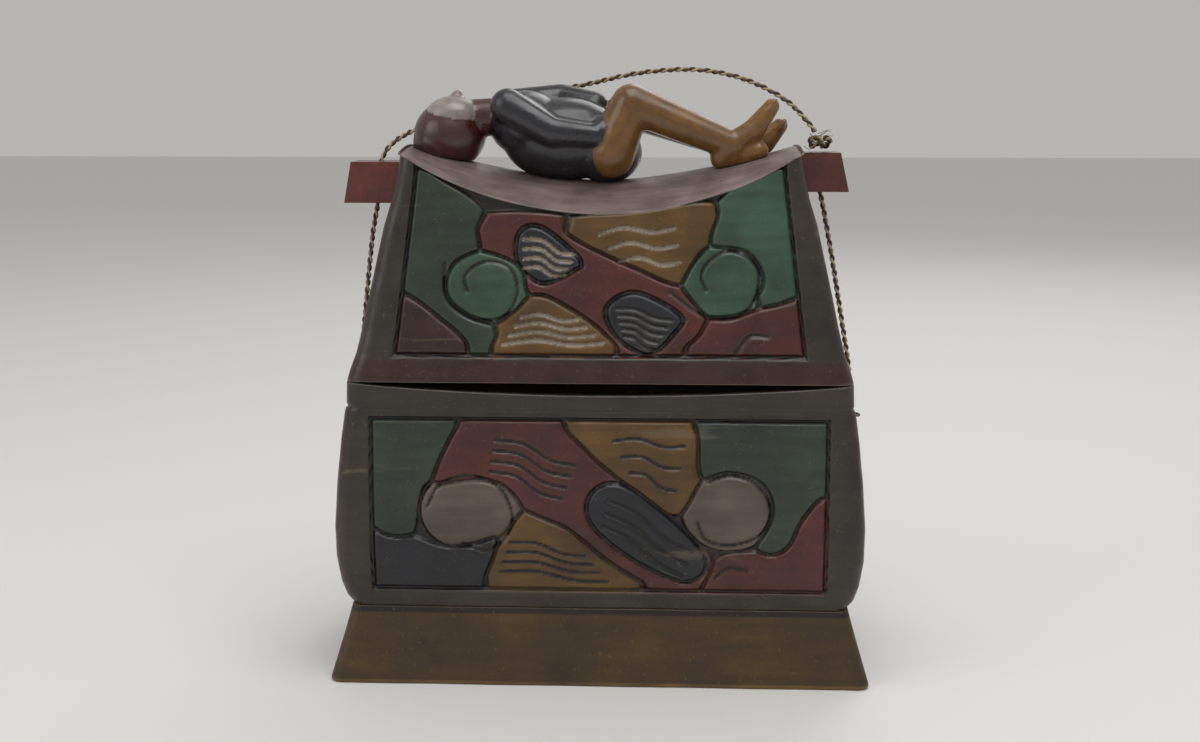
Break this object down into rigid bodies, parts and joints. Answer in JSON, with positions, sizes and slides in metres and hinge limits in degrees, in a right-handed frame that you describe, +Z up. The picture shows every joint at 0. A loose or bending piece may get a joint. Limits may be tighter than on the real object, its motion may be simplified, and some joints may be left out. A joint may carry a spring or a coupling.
{
  "type": "carved wooden lidded box",
  "caption": "Carved and painted wooden box with a flared foot, a saddle-topped lift-off lid with a reclining figure, side lugs and a twisted carrying cord.",
  "frame": {"origin": "middle of the foot's footprint, on the surface that the box stands on", "axes": "+Z up, the carved front faces -Y, +X to the viewer's right"},
  "size_m": [0.243, 0.1062, 0.2749],
  "materials": {
    "painted_wood": "dark worn paint on carved wood",
    "ochre_paint": "mottled dark ochre paint, worn edges",
    "figure_paint": "glossy black and ochre paint",
    "red_lacquer": "chipped red-brown lacquer",
    "cord": "two-ply twisted fibre cord, light and dark",
    "wire": "dull bent wire"
  },
  "bodies": {
    "base": {"base_body": "painted_wood", "foot_plinth": "ochre_paint", "cord_sling": "cord", "staple_left": "wire", "staple_right": "wire"},
    "lid": {"lid_body": "painted_wood", "reclining_figure": "figure_paint", "lug_left": "red_lacquer", "lug_right": "red_lacquer", "cord_handle": "cord", "cord_knot": "cord", "cord_run_left": "cord", "cord_run_right": "cord"}
  },
  "joints": [
    {"name": "lid_lift", "type": "slide", "parent": "base", "child": "lid", "axis": [0, 0, 1], "range_m": [0, 0.06]}
  ]
}
